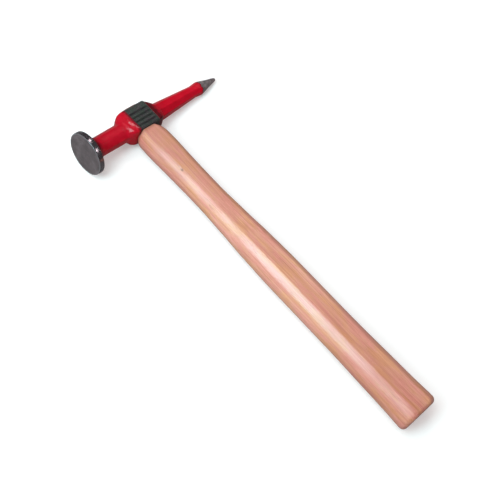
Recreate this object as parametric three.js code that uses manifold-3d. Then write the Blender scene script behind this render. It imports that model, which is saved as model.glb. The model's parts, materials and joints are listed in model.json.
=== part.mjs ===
// Panel-beating pick hammer: a one-piece forged head on a wedged hickory handle.
// Millimetres. The hammer lies on its side on the plane z = 0, the way it rests on a bench:
// +X runs from the head to the butt of the handle, +Y from the striking face to the pick, +Z up.
// Inside the tilted group the axes belong to the hammer itself: x along the handle, y along the head, z across both,
// with the origin where the handle's centre line crosses the head's.
import * as THREE from "three";
import { mergeVertices } from "three/addons/utils/BufferGeometryUtils.js";
import Module from "manifold-3d";

// ---- driving dimensions -------------------------------------------------------------------------------------------
const GAP = 0.3; // clearance between neighbouring pieces
// head, along y
const FACE_Y = -54.9; // striking face
const FACE_R = 18.2; // radius of the striking disc
const RIM_T = 4.7; // thickness of the disc at its rim
const RIM_EDGE = 0.5; // broken edge of the rim
const NECK_R = 8.15; // half width of the neck
const NECK_END = -18.4; // where the shoulder starts to swell
const COLLAR_Y = -9.4; // fullest section of the shoulder
const COLLAR_W = 10.3; // its half width along z
const BAND_Y0 = -7.0; // ribbed band, face side
const BAND_Y1 = 12.5; // ribbed band, pick side
const BLOCK_TOP = 12.9; // height of the eye block above the axis, away from the handle
const BLOCK_FOOT = 10.85; // and on the handle's side
const BAND_W = 10.0; // half width of the eye block along z
const CORNER_TOP = 3.6; // corner radius of the block, away from the handle
const CORNER_FOOT = 1.8; // and on the handle's side
const PICK_Y = 20.8; // root of the pick
const PICK_R0 = 7.45; // half width across flats at the root
const PICK_YN = 59.5; // narrowest section of the pick
const PICK_RN = 4.95; // its half width across flats
const FLARE_Y = 70.0; // where the swelling in front of the point would end
const FLARE_R = 6.15; // its half width across flats
const PICK_LIFT = 0.5; // how far its axis sits above the disc's, away from the handle
const TIP_Y = 86.0; // end of the point
const TIP_R = 1.15; // radius at the end of the ground cone
const CONE_SLOPE = 0.266; // radius of the ground cone per millimetre of length
// ribs of the band
const RIB_PITCH = 4.0;
const RIB_DEPTH = 0.75;
const RIB_COUNT = 4; // grooves on each side of the block
// eye, oval, right through the block along x
const EYE_A = 10.2; // half length along y
const EYE_B = 6.6; // half width along z
const EYE_Y = 0.4; // centre of the eye along y
const EYE_FLARE = 0.7; // extra half width at the top, which the wedges spread the wood into
// handle
const TENON_TOP = -13.5; // end of the tenon, just proud of the eye block
const BUTT_X = 318; // end of the butt
const BUTT_ROUND = 4.2; // rounding of the butt's edge
// wedges
const KERF_LEN = 17.0; // depth of the wooden wedge from the tenon's end
const KERF_T0 = 3.4; // thickness of the wooden wedge at its head
const KERF_T1 = 1.0; // thickness at its point
const KERF_W = 16.4; // width of the wooden wedge along y
const STEEL_LEN = 8.5; // depth of the steel wedge
const STEEL_T0 = 2.0; // thickness of the steel wedge at its head
const STEEL_T1 = 0.9; // thickness at its point
const STEEL_W = 10.4; // width of the steel wedge along z
// rest position: the disc's rim, the swelling of the pick and the butt touch the bench
const REST_ROLL = -5.9704; // degrees about x
const REST_PITCH = -0.2172; // degrees about y

// Handle stations: x, half depth along y, half width along z, and the centre along y.
const HANDLE = [
  [11.16, 8.5, 8.97, -0.6],
  [12.1, 10.2, 9.45, -0.4],
  [14, 11.7, 9.75, 0],
  [17, 12.7, 9.9, 0.3],
  [22, 13.15, 9.95, 0.6],
  [30, 13.3, 10.0],
  [43, 12.95, 9.8],
  [56, 12.65, 9.6],
  [70, 12.45, 9.45],
  [83, 12.35, 9.4],
  [92, 12.45, 9.45],
  [99, 12.75, 9.65],
  [107, 13.15, 9.95],
  [116, 13.45, 10.2],
  [125, 13.9, 10.55],
  [134, 14.45, 10.95],
  [144, 14.8, 11.25],
  [154, 15.1, 11.5],
  [166, 15.4, 11.7],
  [180, 15.5, 11.8],
  [200, 15.5, 11.8],
  [220, 15.55, 11.8],
  [240, 15.65, 11.9],
  [256, 15.95, 12.1],
  [272, 16.3, 12.4],
  [288, 16.6, 12.6],
  [300, 16.95, 12.85],
  [310, 17.4, 13.15],
  [313.8, 17.5, 13.25],
];

// ---- small tools --------------------------------------------------------------------------------------------------
const wasm = await Module();
wasm.setup();

function solid(geometry) {
  const g = geometry.clone();
  for (const name of Object.keys(g.attributes))
    if (name !== "position") g.deleteAttribute(name);
  const m = mergeVertices(g, 1e-4);
  return new wasm.Manifold(
    new wasm.Mesh({
      numProp: 3,
      vertProperties: new Float32Array(m.attributes.position.array),
      triVerts: new Uint32Array(m.index.array),
    }),
  );
}

function geometryOf(manifold) {
  const mesh = manifold.getMesh();
  const g = new THREE.BufferGeometry();
  const p = new Float32Array(mesh.numVert * 3);
  for (let i = 0; i < mesh.numVert; i++)
    for (let k = 0; k < 3; k++)
      p[3 * i + k] = mesh.vertProperties[mesh.numProp * i + k];
  g.setAttribute("position", new THREE.BufferAttribute(p, 3));
  g.setIndex(new THREE.BufferAttribute(new Uint32Array(mesh.triVerts), 1));
  g.computeVertexNormals();
  return g;
}

// A body with a section at each station: a cylinder whose rings are moved to the sections.
// section(station, k) gives the ring's k-th point of n as [u, v]; place(station, u, v) puts it in space.
function loft(stations, n, section, place) {
  const rows = stations.length - 1;
  const g = new THREE.CylinderGeometry(1, 1, 1, n, rows, false);
  const pos = g.attributes.position;
  for (let i = 0; i < pos.count; i++) {
    const x = pos.getX(i),
      y = pos.getY(i),
      z = pos.getZ(i);
    const s = stations[Math.round((0.5 - y) * rows)];
    const rho = Math.hypot(x, z);
    const k =
      ((Math.round((Math.atan2(x, z) / (2 * Math.PI)) * n) % n) + n) % n;
    const [u, v] = rho < 0.5 ? [0, 0] : section(s, k);
    pos.setXYZ(i, ...place(s, u, v));
  }
  return g;
}

// ---- head ---------------------------------------------------------------------------------------------------------
// Distance from the axis to the outline of the block's section in the direction phi: a rectangle, taller on the side away
// from the handle (-x), with one corner radius on that side and another on the handle's.
function blockSection(phi, top, foot, w, rTop, rFoot) {
  const cx = Math.cos(phi),
    s = Math.abs(Math.sin(phi)),
    c = Math.abs(cx);
  const h = cx > 0 ? foot : top,
    r = cx > 0 ? rFoot : rTop;
  const t = Math.min(c > 1e-9 ? h / c : 1e9, s > 1e-9 ? w / s : 1e9);
  const ex = h - r,
    ez = w - r;
  if (t * c <= ex + 1e-9 || t * s <= ez + 1e-9) return t;
  const b = c * ex + s * ez;
  return b + Math.sqrt(Math.max(0, b * b - (ex * ex + ez * ez - r * r)));
}
// The same for a regular octagon, flats facing x and z.
function octagon(phi, flat) {
  const q = Math.PI / 4;
  const d = phi - q * Math.round(phi / q);
  return flat / Math.cos(d);
}
const mix = (a, b, t) => a + (b - a) * t;
const HEAD_SEGMENTS = 48;

// Outline radius of the head at y in the direction phi.
const HEAD = [];
const round = (y, r) => HEAD.push({ y, f: () => r });
const soft = (y, r, k) => HEAD.push({ y, f: (p) => mix(r, octagon(p, r * 0.985), k) });
// in: how far the section is drawn in from the full block; dw: extra half width
const block = (y, inset, dw) =>
  HEAD.push({
    y,
    f: (p) =>
      blockSection(p, BLOCK_TOP - inset, BLOCK_FOOT - inset, BAND_W + dw - inset, CORNER_TOP, CORNER_FOOT),
  });
// part way from section f to section g: tTop away from the handle, tFoot on its side
const blend = (y, f, g, tTop, tFoot) =>
  HEAD.push({
    y,
    f: (p) => mix(f(p), g(p), mix(tTop, tFoot, (1 + Math.cos(p)) / 2)),
  });

round(FACE_Y, FACE_R - RIM_EDGE);
round(FACE_Y + RIM_EDGE, FACE_R);
round(FACE_Y + RIM_T - RIM_EDGE, FACE_R);
round(FACE_Y + RIM_T, FACE_R - RIM_EDGE);
// back of the disc: a shallow cone that runs into the neck through a fillet
round(-49.6, 14.2);
round(-48.4, 11.9);
round(-46.9, 10.2);
round(-45.0, 9.1);
round(-42.6, 8.45);
soft(-40.0, NECK_R, 0.4);
soft(-28.0, NECK_R, 0.6);
soft(NECK_END - 1.6, NECK_R, 0.6);
// shoulder: a bell that swells from the neck to the block
const neckF = (p) => mix(NECK_R, octagon(p, NECK_R * 0.985), 0.6);
const collarF = (p) =>
  blockSection(p, BLOCK_TOP, BLOCK_FOOT, COLLAR_W, CORNER_TOP, CORNER_FOOT + 0.6);
blend(NECK_END, neckF, collarF, 0.08, 0.05);
blend(NECK_END + 1.0, neckF, collarF, 0.3, 0.14);
blend(NECK_END + 2.2, neckF, collarF, 0.63, 0.3);
blend(NECK_END + 3.8, neckF, collarF, 0.84, 0.58);
blend(NECK_END + 5.6, neckF, collarF, 0.94, 0.82);
blend(NECK_END + 7.4, neckF, collarF, 0.99, 0.96);
block(COLLAR_Y, 0, COLLAR_W - BAND_W);
block(BAND_Y0 - 0.9, 0, COLLAR_W - BAND_W - 0.08);
block(BAND_Y0, 0.05, 0.05);
block(BAND_Y1 - 0.5, 0, 0);
block(BAND_Y1, 0.4, 0);
// slope from the block down to the pick, drawn out further on the handle's side
const blockF = (p) =>
  blockSection(p, BLOCK_TOP - 0.4, BLOCK_FOOT - 0.4, BAND_W - 0.4, CORNER_TOP, CORNER_FOOT);
const rootF = (p) => octagon(p, PICK_R0);
blend(mix(BAND_Y1, PICK_Y, 0.35), blockF, rootF, 0.36, 0.03);
blend(mix(BAND_Y1, PICK_Y, 0.6), blockF, rootF, 0.63, 0.2);
blend(mix(BAND_Y1, PICK_Y, 0.82), blockF, rootF, 0.86, 0.66);
// pick: an octagonal shank that narrows, swells a little, and is ground to a round point
const coneR = (y) => TIP_R + CONE_SLOPE * (TIP_Y - 0.7 - y);
function shank(y) {
  if (y <= PICK_YN)
    return mix(PICK_R0, PICK_RN, (y - PICK_Y) / (PICK_YN - PICK_Y));
  const t = Math.min(1, (y - PICK_YN) / (FLARE_Y - PICK_YN));
  return mix(PICK_RN, FLARE_R, Math.pow(t, 1.35));
}
const pick = (y) =>
  HEAD.push({ y, f: (p) => Math.min(octagon(p, shank(y)), coneR(y)) });
for (const y of [
  PICK_Y,
  34,
  47,
  PICK_YN,
  61.5,
  63.5,
  64.6,
  65.4,
  66.2,
  67.0,
  67.8,
  69.2,
  74,
  80,
  TIP_Y - 0.7,
])
  pick(y);
round(TIP_Y - 0.25, TIP_R * 0.78);
round(TIP_Y, TIP_R * 0.36);

// the pick's axis sits a little above the disc's
const lift = (y) => -PICK_LIFT * Math.min(1, Math.max(0, (y - BAND_Y1) / (PICK_Y - BAND_Y1)));

const headBody = loft(
  HEAD,
  HEAD_SEGMENTS,
  (s, k) => {
    const phi = (k / HEAD_SEGMENTS) * 2 * Math.PI;
    const r = s.f(phi);
    return [r * Math.cos(phi), r * Math.sin(phi)];
  },
  (s, u, v) => [u + lift(s.y), s.y, v],
);

// Oval outline in the y-z plane, flat sides and round ends, as a shape for extruding along x.
function oval(a, b) {
  const shape = new THREE.Shape();
  shape.moveTo(-(a - b), -b);
  shape.lineTo(a - b, -b);
  shape.absarc(a - b, 0, b, -Math.PI / 2, Math.PI / 2, false);
  shape.lineTo(-(a - b), b);
  shape.absarc(-(a - b), 0, b, Math.PI / 2, (3 * Math.PI) / 2, false);
  return shape;
}
// A straight oval bar along x whose size runs evenly from [a0, b0] at x0 to [a1, b1] at x1.
const OVAL_SEGMENTS = 8;
function ovalBar(x0, a0, b0, x1, a1, b1) {
  const g = new THREE.ExtrudeGeometry(oval(1.5, 1), {
    depth: 1,
    bevelEnabled: false,
    curveSegments: OVAL_SEGMENTS,
  });
  const pos = g.attributes.position;
  for (let i = 0; i < pos.count; i++) {
    const t = pos.getZ(i);
    const a = mix(a0, a1, t),
      b = mix(b0, b1, t);
    const py = pos.getX(i),
      pz = pos.getY(i);
    const y = Math.sign(py) * (Math.max(0, Math.abs(py) - 0.5) * b + (a - b) * Math.min(1, Math.abs(py) / 0.5));
    pos.setXYZ(i, mix(x0, x1, t), EYE_Y + y, pz * b);
  }
  return g;
}

let head = solid(headBody);
head = head.subtract(
  solid(
    ovalBar(
      -15, EYE_A + EYE_FLARE, EYE_B + EYE_FLARE,
      15, EYE_A - 0.2, EYE_B - 0.2,
    ),
  ),
);
// ribs: vee grooves along the band, on the two sides of the block
const vee = new THREE.Shape();
vee.moveTo(-1.15, 0.35);
vee.lineTo(-0.25, -RIB_DEPTH);
vee.lineTo(0.25, -RIB_DEPTH);
vee.lineTo(1.15, 0.35);
vee.closePath();
for (const side of [1, -1])
  for (let i = 0; i < RIB_COUNT; i++) {
    const groove = new THREE.ExtrudeGeometry(vee, {
      depth: BAND_Y1 - BAND_Y0 - 1.3,
      bevelEnabled: false,
    });
    groove.rotateX(-Math.PI / 2); // the extrusion now runs along +y and the vee opens along -z
    groove.rotateY(side > 0 ? Math.PI : 0);
    groove.translate(
      (i - (RIB_COUNT - 1) / 2) * RIB_PITCH + 1.0,
      BAND_Y0 + 0.4,
      side * BAND_W,
    );
    head = head.subtract(solid(groove));
  }

// ---- handle -------------------------------------------------------------------------------------------------------
// Section: flat sides facing z, round front and back. The flats end in crisp arrises.
const HANDLE_SEGMENTS = 36; // 4 along each flat, 14 round each end
function handleSection(alpha, beta, k) {
  const a0 = Math.max(0.5, 0.638 * beta - 0.45);
  const s = alpha - a0;
  const R = (beta * beta + s * s) / (2 * s);
  const c = alpha - R;
  const half = Math.asin(Math.min(1, beta / R));
  const sweep = s > beta ? Math.PI - half : half;
  // k runs from the +z arris on the pick side, round the pick side, along -z, round the face side, along +z
  let y, z;
  if (k < 14) {
    const t = mix(sweep, -sweep, k / 14);
    y = c + R * Math.cos(t);
    z = R * Math.sin(t);
  } else if (k < 18) {
    y = mix(a0, -a0, (k - 14) / 4);
    z = -beta;
  } else if (k < 32) {
    const t = mix(-sweep, sweep, (k - 18) / 14);
    y = -(c + R * Math.cos(t));
    z = R * Math.sin(t);
  } else {
    y = mix(-a0, a0, (k - 32) / 4);
    z = beta;
  }
  return [y, z];
}
// the shaft leans a little towards the pick as it nears the head
const centre = (x) => 0.65 * Math.max(0, 1 - x / 220);
const handleStations = HANDLE.map(([x, a, b, c]) => ({ x, a, b, c: c ?? centre(x) }));
// the butt: its edge is rounded over
for (const t of [0.2, 0.4, 0.6, 0.8, 1]) {
  const w = (t * Math.PI) / 2;
  handleStations.push({
    x: BUTT_X - BUTT_ROUND + BUTT_ROUND * Math.sin(w),
    a: 17.5 - BUTT_ROUND * (1 - Math.cos(w)) * 0.9,
    b: 13.25 - BUTT_ROUND * (1 - Math.cos(w)) * 0.9,
    c: 0,
  });
}
const shaft = loft(
  handleStations,
  HANDLE_SEGMENTS,
  (s, k) => handleSection(s.a, s.b, k),
  (s, u, v) => [s.x, u + s.c, v],
);
// the tenon fills the eye; it is waisted with it, and stands a little proud at the top
const tenon = ovalBar(
  TENON_TOP, EYE_A + EYE_FLARE * 0.92 - GAP, EYE_B + EYE_FLARE * 0.92 - GAP,
  11.2, EYE_A - 0.12 - GAP, EYE_B - 0.12 - GAP,
);
// A flat wedge along x: thickness t0 at x0 and t1 at x1. It is thick along z, or along y when crosswise.
function wedge(x0, t0, x1, t1, width, crosswise) {
  const s = new THREE.Shape();
  s.moveTo(x0, -t0 / 2);
  s.lineTo(x1, -t1 / 2);
  s.lineTo(x1, t1 / 2);
  s.lineTo(x0, t0 / 2);
  s.closePath();
  const g = new THREE.ExtrudeGeometry(s, { depth: width, bevelEnabled: false });
  g.translate(0, 0, -width / 2);
  if (!crosswise) g.rotateX(Math.PI / 2);
  g.translate(0, EYE_Y, 0);
  return g;
}
// the slot for a wedge: the wedge with the clearance round it, running out past the tenon's end
function slot(x0, t0, x1, t1, width, crosswise) {
  const k = (t0 - t1) / (x1 - x0);
  return wedge(
    x0 - 5, t0 + 5 * k + 2 * GAP,
    x1 + GAP, t1 - GAP * k + 2 * GAP,
    width + 2 * GAP, crosswise,
  );
}
const top = TENON_TOP + 0.15; // the wedges end just below the tenon's end
const kerfArgs = [top, KERF_T0, top + KERF_LEN, KERF_T1, KERF_W, false];
const steelArgs = [top + 0.15, STEEL_T0, top + STEEL_LEN, STEEL_T1, STEEL_W, true];
const handle = solid(shaft)
  .add(solid(tenon))
  .subtract(solid(slot(...kerfArgs)))
  .subtract(solid(slot(...steelArgs)));
const kerfWedge = solid(wedge(...kerfArgs)).subtract(solid(slot(...steelArgs)));
const steelWedge = solid(wedge(...steelArgs));

// ---- the scene ----------------------------------------------------------------------------------------------------
const paintedSteel = new THREE.MeshStandardMaterial({ name: "red_enamel", color: 0xc2162c, roughness: 0.3, metalness: 0.1 });
const hickory = new THREE.MeshStandardMaterial({ name: "hickory", color: 0xdfa286, roughness: 0.45, metalness: 0 });
const paleWood = new THREE.MeshStandardMaterial({ name: "wedge_wood", color: 0xc99a6c, roughness: 0.6, metalness: 0 });
const plainSteel = new THREE.MeshStandardMaterial({ name: "wedge_steel", color: 0x8c8c8c, roughness: 0.4, metalness: 1 });

const hammer = new THREE.Group();
function piece(name, manifold, material) {
  const mesh = new THREE.Mesh(geometryOf(manifold), material);
  mesh.name = name;
  hammer.add(mesh);
  return mesh;
}
piece("head", head, paintedSteel);
piece("handle", handle, hickory);
piece("kerf_wedge", kerfWedge, paleWood);
piece("steel_wedge", steelWedge, plainSteel);

// lay it down: turn it about its own origin, then bring the lowest point to z = 0 and the middle of its box over the origin
hammer.rotation.set(
  THREE.MathUtils.degToRad(REST_ROLL),
  THREE.MathUtils.degToRad(REST_PITCH),
  0,
);
hammer.updateMatrixWorld(true);
const box = new THREE.Box3().setFromObject(hammer, true);
hammer.position.set(
  -(box.min.x + box.max.x) / 2,
  -(box.min.y + box.max.y) / 2,
  -box.min.z,
);

const root = new THREE.Group();
root.add(hammer);
export default root;
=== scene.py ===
"""Panel-beating pick hammer: the looks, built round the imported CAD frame.

Shapes are worked out in the hammer's own axes, in millimetres: x along the handle to the butt, y along the head from
the striking face to the pick, z across both, with the origin where the two centre lines cross. The record's two
mounts say where those axes lie in the row frame.
"""

import json
import math

import bmesh
import bpy
import numpy as np
from mathutils import Matrix, Vector


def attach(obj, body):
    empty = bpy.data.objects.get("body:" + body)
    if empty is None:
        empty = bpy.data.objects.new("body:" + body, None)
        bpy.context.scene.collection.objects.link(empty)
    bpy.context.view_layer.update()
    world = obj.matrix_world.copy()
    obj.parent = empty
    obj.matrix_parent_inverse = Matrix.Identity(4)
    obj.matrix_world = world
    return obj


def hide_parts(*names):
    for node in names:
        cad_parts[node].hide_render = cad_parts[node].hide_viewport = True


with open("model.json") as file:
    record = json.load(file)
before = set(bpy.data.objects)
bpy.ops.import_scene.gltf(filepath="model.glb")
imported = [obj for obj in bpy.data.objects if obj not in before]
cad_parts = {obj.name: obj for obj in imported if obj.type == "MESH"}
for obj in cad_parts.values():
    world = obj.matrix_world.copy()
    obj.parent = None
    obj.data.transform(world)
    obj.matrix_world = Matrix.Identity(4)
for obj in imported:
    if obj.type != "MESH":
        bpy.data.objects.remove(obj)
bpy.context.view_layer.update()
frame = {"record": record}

# ---- the hammer's axes in the row frame -----------------------------------------------------------------------------
mounts = {m["name"]: m for m in frame["record"]["mounts"]}
BUTT_X = 318.0
FACE_Y = -54.9
ex = Vector(mounts["butt_end"]["axis"]).normalized()
ey = -Vector(mounts["striking_face"]["axis"]).normalized()
ez = ex.cross(ey).normalized()
ey = ez.cross(ex)
origin = Vector(mounts["butt_end"]["pos_m"]) - ex * (BUTT_X / 1000)
TO_ROW = Matrix(
    (
        (ex.x * 0.001, ey.x * 0.001, ez.x * 0.001, origin.x),
        (ex.y * 0.001, ey.y * 0.001, ez.y * 0.001, origin.y),
        (ex.z * 0.001, ey.z * 0.001, ez.z * 0.001, origin.z),
        (0, 0, 0, 1),
    )
)


def row(p):
    """A point of the hammer's axes, in millimetres, as a point of the row frame, in metres."""
    return TO_ROW @ Vector(p)


# ---- small tools ----------------------------------------------------------------------------------------------------
def pchip(xs, ys, x):
    """Values at x of the monotone cubic through (xs, ys). ys may have more columns."""
    xs = np.asarray(xs, float)
    ys = np.asarray(ys, float)
    flat = ys.reshape(len(xs), -1)
    h = np.diff(xs)[:, None]
    d = np.diff(flat, axis=0) / h
    m = np.zeros_like(flat)
    m[0], m[-1] = d[0], d[-1]
    same = d[:-1] * d[1:] > 0
    w1, w2 = 2 * h[1:] + h[:-1], h[1:] + 2 * h[:-1]
    with np.errstate(divide="ignore", invalid="ignore"):
        mean = (w1 + w2) / (w1 / d[:-1] + w2 / d[1:])
    m[1:-1] = np.where(same, mean, 0)
    x = np.atleast_1d(np.asarray(x, float))
    i = np.clip(np.searchsorted(xs, x, side="right") - 1, 0, len(xs) - 2)
    t = ((x - xs[i]) / h[i, 0])[:, None]
    hh = h[i]
    out = (
        (2 * t**3 - 3 * t**2 + 1) * flat[i]
        + (t**3 - 2 * t**2 + t) * hh * m[i]
        + (-2 * t**3 + 3 * t**2) * flat[i + 1]
        + (t**3 - t**2) * hh * m[i + 1]
    )
    return out.reshape((len(x),) + ys.shape[1:])


def mix(a, b, t):
    return a + (b - a) * t


def smooth(lo, hi, x):
    t = np.clip((np.asarray(x, float) - lo) / (hi - lo), 0, 1)
    return t * t * (3 - 2 * t)


def mesh_from(name, verts, faces):
    me = bpy.data.meshes.new(name)
    me.from_pydata([tuple(map(float, v)) for v in verts], [], faces)
    me.validate()
    me.update()
    return me


def obj_from(name, me):
    ob = bpy.data.objects.new(name, me)
    bpy.context.scene.collection.objects.link(ob)
    return ob


def loft(name, rings, start, end):
    """A closed body through rings of points, each an (n, 3) array. start and end are the points the caps close on."""
    rings = np.asarray(rings, float)
    m, n = rings.shape[:2]
    verts = list(rings.reshape(-1, 3)) + [np.asarray(start, float), np.asarray(end, float)]
    faces = []
    for j in range(m - 1):
        a, b = j * n, (j + 1) * n
        for i in range(n):
            k = (i + 1) % n
            faces.append((a + i, a + k, b + k, b + i))
    s, e, last = m * n, m * n + 1, (m - 1) * n
    for i in range(n):
        k = (i + 1) % n
        faces.append((s, k, i))
        faces.append((e, last + i, last + k))
    me = mesh_from(name, verts, faces)
    return me


def volume_sign(me):
    total = 0.0
    for p in me.polygons:
        v = [me.vertices[i].co for i in p.vertices]
        for k in range(1, len(v) - 1):
            total += v[0].dot(v[k].cross(v[k + 1]))
    return total


def outward(me):
    """Turns the faces so that they face out."""
    if volume_sign(me) < 0:
        me.flip_normals()
    return me


def boolean(target, cutters, operation="DIFFERENCE"):
    """The target mesh with the cutter meshes taken away, as a new mesh."""
    ob = obj_from("work_target", target)
    tools = []
    for i, c in enumerate(cutters):
        t = obj_from(f"work_tool_{i}", c)
        mod = ob.modifiers.new(f"cut{i}", "BOOLEAN")
        mod.operation = operation
        mod.solver = "EXACT"
        mod.object = t
        tools.append(t)
    bpy.context.view_layer.update()
    dg = bpy.context.evaluated_depsgraph_get()
    made = bpy.data.meshes.new_from_object(ob.evaluated_get(dg))
    for o in [ob, *tools]:
        bpy.data.objects.remove(o)
    return made


def tidy(me, distance=0.004):
    """Merges the doubled points that a cut leaves."""
    bm = bmesh.new()
    bm.from_mesh(me)
    bmesh.ops.remove_doubles(bm, verts=bm.verts, dist=distance)
    bmesh.ops.dissolve_degenerate(bm, edges=bm.edges, dist=distance)
    bm.to_mesh(me)
    bm.free()
    me.update()


def shade(me, degrees):
    """Smooth shading, with creases where the surface turns by more than this."""
    me.polygons.foreach_set("use_smooth", [True] * len(me.polygons))
    me.set_sharp_from_angle(angle=math.radians(degrees))


def coordinates(me):
    """An (n, 3) array of the mesh's points."""
    co = np.zeros(len(me.vertices) * 3)
    me.vertices.foreach_get("co", co)
    return co.reshape(-1, 3)


def attribute(me, name, values):
    a = me.attributes.new(name, "FLOAT_VECTOR" if values.ndim == 2 else "FLOAT", "POINT")
    if values.ndim == 2:
        a.data.foreach_set("vector", values.astype(np.float32).ravel())
    else:
        a.data.foreach_set("value", values.astype(np.float32))


def place(name, me, material, slot, *nodes):
    """Stores the points' own coordinates for the material, puts the mesh in the row frame and makes it a piece."""
    attribute(me, "hc", coordinates(me))
    me.transform(TO_ROW)
    me.update()
    me.materials.clear()
    me.materials.append(material)
    ob = obj_from(name, me)
    ob.data.name = name
    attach(ob, "root")
    if nodes:
        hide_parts(*nodes)
    return ob


# ---- dimensions, as in the CAD --------------------------------------------------------------------------------------
FACE_R, RIM_T, RIM_EDGE = 18.2, 4.7, 0.5
NECK_R, NECK_END = 8.15, -18.4
COLLAR_Y, COLLAR_W = -9.4, 10.3
BAND_Y0, BAND_Y1 = -7.0, 12.5
BLOCK_TOP, BLOCK_FOOT, BAND_W = 12.9, 10.85, 10.0
CORNER_TOP, CORNER_FOOT = 3.6, 1.8
PICK_Y, PICK_R0, PICK_YN, PICK_RN = 20.8, 7.45, 59.5, 4.95
FLARE_Y, FLARE_R, PICK_LIFT = 70.0, 6.15, 0.5
TIP_Y, TIP_R, CONE_SLOPE = 86.0, 1.15, 0.266
RIB_PITCH, RIB_DEPTH, RIB_COUNT = 4.0, 0.75, 4
EYE_A, EYE_B, EYE_Y, EYE_FLARE = 10.2, 6.6, 0.4, 0.7
TENON_TOP = -13.5
KERF_LEN, KERF_T0, KERF_T1, KERF_W = 17.0, 3.4, 1.0, 16.4
STEEL_LEN, STEEL_T0, STEEL_T1, STEEL_W = 8.5, 2.0, 0.9, 10.4

# ---- head -----------------------------------------------------------------------------------------------------------
# Directions round the head's axis, closer together across the ribbed sides and round each corner of the octagon.
side = np.degrees(np.arctan2(BAND_W, np.linspace(9.05, -9.3, 92)))
rest_foot = np.linspace(-side[0], side[0], 62)[1:-1]
rest_top = np.linspace(side[-1], 360 - side[-1], 62)[1:-1]
angles = np.concatenate([side, 360 - side, rest_foot % 360, rest_top])
corners = (np.arange(22.5, 360, 45)[:, None] + np.array([-5.2, -3.9, -2.6, -1.3, 0, 1.3, 2.6, 3.9, 5.2])).ravel()
angles = np.array([a for a in angles if np.abs(a - corners).min() > 0.12])
PHI = np.radians(np.sort(np.concatenate([angles, corners])))
COS, SIN = np.cos(PHI), np.sin(PHI)


def block_section(top, foot, w, r_top, r_foot):
    """Radius of the block's outline in each direction: a rectangle with one corner radius above and one below."""
    s, c = np.abs(SIN), np.abs(COS)
    h = np.where(COS > 0, foot, top)
    r = np.where(COS > 0, r_foot, r_top)
    t = np.minimum(h / np.maximum(c, 1e-9), w / np.maximum(s, 1e-9))
    ex_, ez_ = h - r, w - r
    b = c * ex_ + s * ez_
    rounded = b + np.sqrt(np.maximum(0, b * b - (ex_**2 + ez_**2 - r * r)))
    flat = (t * c <= ex_ + 1e-9) | (t * s <= ez_ + 1e-9)
    return np.where(flat, t, rounded)


def octagon_at(phi, flat, corner):
    """Radius, in the direction phi, of a regular octagon with rounded corners."""
    q = math.pi / 4
    d = np.abs(phi - q * np.round(phi / q))
    c = (flat - corner) / math.cos(q / 2)
    delta = q / 2 - d
    arc = c * np.cos(delta) + np.sqrt(np.maximum(corner**2 - (c * np.sin(delta)) ** 2, 0))
    return np.where(flat * np.tan(d) > (flat - corner) * math.tan(q / 2), arc, flat / np.cos(d))


def octagon(flat, corner=1.5):
    return octagon_at(PHI, flat, corner)


FOOTWARD = (1 + COS) / 2


def blend(f, g, t_top, t_foot, t_side=None):
    """From f to g, by one amount at the top, one at the foot and one at the two sides."""
    t = mix(t_top, t_foot, FOOTWARD)
    if t_side is not None:
        t = mix(np.where(COS > 0, t_foot, t_top), t_side, SIN**2)
    return mix(f, g, t)


one = np.ones_like(PHI)
neck_f = mix(NECK_R * one, octagon(NECK_R * 0.985), 0.6)
collar_f = block_section(BLOCK_TOP, BLOCK_FOOT, COLLAR_W, CORNER_TOP, CORNER_FOOT + 0.6)


def block(inset, dw):
    return block_section(
        BLOCK_TOP - inset, BLOCK_FOOT - inset, BAND_W + dw - inset, CORNER_TOP, CORNER_FOOT
    )


rings_y, rings_r = [], []


def add_rings(ys, rs):
    for y, r in zip(ys, rs):
        rings_y.append(float(y))
        rings_r.append(np.array(r, float))


# disc: ground face, broken edge, a rim that is a hair fuller in the middle
R_ = FACE_R - 0.03
for t in np.linspace(0, 1, 7):
    a = t * math.pi / 2
    add_rings([FACE_Y + RIM_EDGE * (1 - math.cos(a))], [(R_ - RIM_EDGE + RIM_EDGE * math.sin(a) - 0.1) * one])
for t in np.linspace(0.1, 0.9, 9):
    add_rings(
        [FACE_Y + RIM_EDGE + t * (RIM_T - 2 * RIM_EDGE)],
        [(R_ - 0.1 * (2 * t - 1) ** 2) * one],
    )
for t in np.linspace(0, 1, 7):
    a = t * math.pi / 2
    add_rings([FACE_Y + RIM_T - RIM_EDGE + RIM_EDGE * math.sin(a)], [(R_ - 0.1 - RIM_EDGE * (1 - math.cos(a))) * one])
# back of the disc, neck and shoulder
keys = [
    (FACE_Y + RIM_T, (R_ - 0.1 - RIM_EDGE) * one),
    (-49.6, 14.2 * one),
    (-48.4, 11.9 * one),
    (-46.9, 10.2 * one),
    (-45.0, 9.1 * one),
    (-42.6, 8.45 * one),
    (-40.0, mix(NECK_R * one, octagon(NECK_R * 0.985), 0.4)),
    (-28.0, neck_f),
    (NECK_END - 1.6, neck_f),
    (NECK_END, blend(neck_f, collar_f, 0.08, 0.05, 0.02)),
    (NECK_END + 1.0, blend(neck_f, collar_f, 0.3, 0.14, 0.1)),
    (NECK_END + 2.2, blend(neck_f, collar_f, 0.63, 0.3, 0.28)),
    (NECK_END + 3.8, blend(neck_f, collar_f, 0.84, 0.58, 0.68)),
    (NECK_END + 5.6, blend(neck_f, collar_f, 0.94, 0.82, 0.88)),
    (NECK_END + 7.4, blend(neck_f, collar_f, 0.99, 0.96, 0.97)),
    (COLLAR_Y, collar_f),
    (BAND_Y0 - 0.9, block(0, COLLAR_W - BAND_W - 0.04)),
]
ks = [k[0] for k in keys]
fs = np.array([k[1] for k in keys])
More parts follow.
